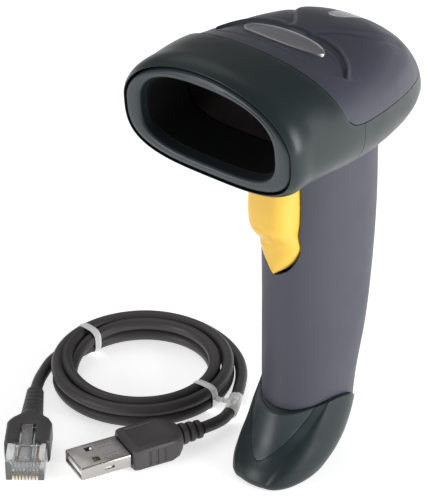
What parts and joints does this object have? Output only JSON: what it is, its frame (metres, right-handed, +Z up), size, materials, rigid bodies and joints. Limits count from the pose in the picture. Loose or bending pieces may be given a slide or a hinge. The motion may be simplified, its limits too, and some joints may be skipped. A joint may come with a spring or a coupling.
{
  "type": "handheld barcode scanner",
  "caption": "Handheld trigger barcode scanner standing on its foot, with its coiled data cable lying beside it: dark nose, purple-grey cover, grey grip and yellow trigger.",
  "frame": {"origin": "bottom centre of the scanner and its cable plugs together, on the surface they stand on", "axes": "+Z up along the handle, -Y the way the scan window faces, X across the head"},
  "size_m": [0.1253, 0.1129, 0.1512],
  "materials": {
    "nose_plastic": "smooth dark green-black plastic with a soft gloss",
    "cover_plastic": "satin purple-grey plastic with a fine grain",
    "grip_plastic": "satin warm grey plastic with a fine grain",
    "bezel_plastic": "satin blue-grey plastic",
    "black_plastic": "black moulded plastic",
    "trigger_plastic": "glossy yellow plastic",
    "badge_metal": "blank silver plate",
    "steel": "plain steel",
    "brass": "turned brass",
    "gold_contacts": "gold-plated contacts",
    "copper_coil": "enamelled copper wire",
    "circuit_board": "green solder mask",
    "chip_black": "black moulded resin",
    "lens_plastic": "translucent smoky plastic",
    "tinted_window": "dark red tinted window",
    "mirror_glass": "first-surface mirror",
    "clear_plastic": "clear plastic",
    "cable_jacket": "satin warm grey cable jacket and mouldings",
    "white_paper": "white paper and coated wire"
  },
  "bodies": {
    "root": {"badge_plate": "badge_metal", "beeper": "chip_black", "bezel_gasket": "black_plastic", "board_ribbon": "lens_plastic", "cable_coil": "cable_jacket", "cable_label": "white_paper", "cable_socket": "chip_black", "cable_tail_modular": "cable_jacket", "cable_tail_usb": "cable_jacket", "cable_tie_back": "white_paper", "cable_tie_front": "white_paper", "collector_mirror": "mirror_glass", "decoder_chip": "chip_black", "detector_board": "circuit_board", "drive_coil": "copper_coil", "engine_chassis": "chip_black", "engine_screw_l": "steel", "engine_screw_r": "steel", "foot_cap": "nose_plastic", "foot_inlay": "bezel_plastic", "handle_grip": "grip_plastic", "indicator_lens": "lens_plastic", "interface_chip": "chip_black", "lamp_green": "clear_plastic", "lamp_red": "clear_plastic", "laser_barrel": "brass", "laser_diode": "gold_contacts", "laser_lens": "clear_plastic", "light_hood": "black_plastic", "light_pipe": "clear_plastic", "main_board": "circuit_board", "mirror_flexure": "clear_plastic", "modular_boot": "cable_jacket", "modular_contacts": "gold_contacts", "modular_plug": "clear_plastic", "nose_cover": "nose_plastic", "photodiode": "tinted_window", "rear_shell": "nose_plastic", "scan_window": "tinted_window", "socket_board": "circuit_board", "socket_contacts": "gold_contacts", "top_cover": "cover_plastic", "trigger_board": "circuit_board", "trigger_bracket": "black_plastic", "trigger_pin": "steel", "trigger_spring": "steel", "trigger_switch": "steel", "usb_contacts": "gold_contacts", "usb_overmold": "cable_jacket", "usb_shell": "steel", "usb_strain_relief": "cable_jacket", "usb_tongue": "white_paper", "window_bezel": "bezel_plastic"},
    "trigger": {"trigger": "trigger_plastic"},
    "switch_button": {"switch_plunger": "chip_black"},
    "dither_mirror": {"scan_mirror": "mirror_glass", "mirror_carrier": "black_plastic", "mirror_magnet": "steel"},
    "plug_latch": {"modular_latch": "clear_plastic"}
  },
  "joints": [
    {"name": "trigger_pull", "type": "hinge", "parent": "root", "child": "trigger", "pos_m": [0, -0.0027, 0.1016], "axis": [1, 0, 0], "range_deg": [0, 3.6], "stiffness_Nm_per_rad": 0.6, "springref_deg": -5.73},
    {"name": "switch_press", "type": "slide", "parent": "root", "child": "switch_button", "axis": [0, 1, 0], "range_m": [0, 0.00045]},
    {"name": "mirror_dither", "type": "hinge", "parent": "root", "child": "dither_mirror", "pos_m": [0, -0.0036, 0.1275], "axis": [0, 0, 1], "range_deg": [-6, 6], "stiffness_Nm_per_rad": 0.05},
    {"name": "latch_press", "type": "hinge", "parent": "root", "child": "plug_latch", "pos_m": [-0.05557, -0.06413, 0.0076], "axis": [-0.7944, -0.6074, 0], "range_deg": [0, 6], "stiffness_Nm_per_rad": 0.05, "springref_deg": -2.86}
  ],
  "couplings": [
    {"joint": "switch_press", "follows": "trigger_pull", "m_per_rad": 0.00716}
  ]
}
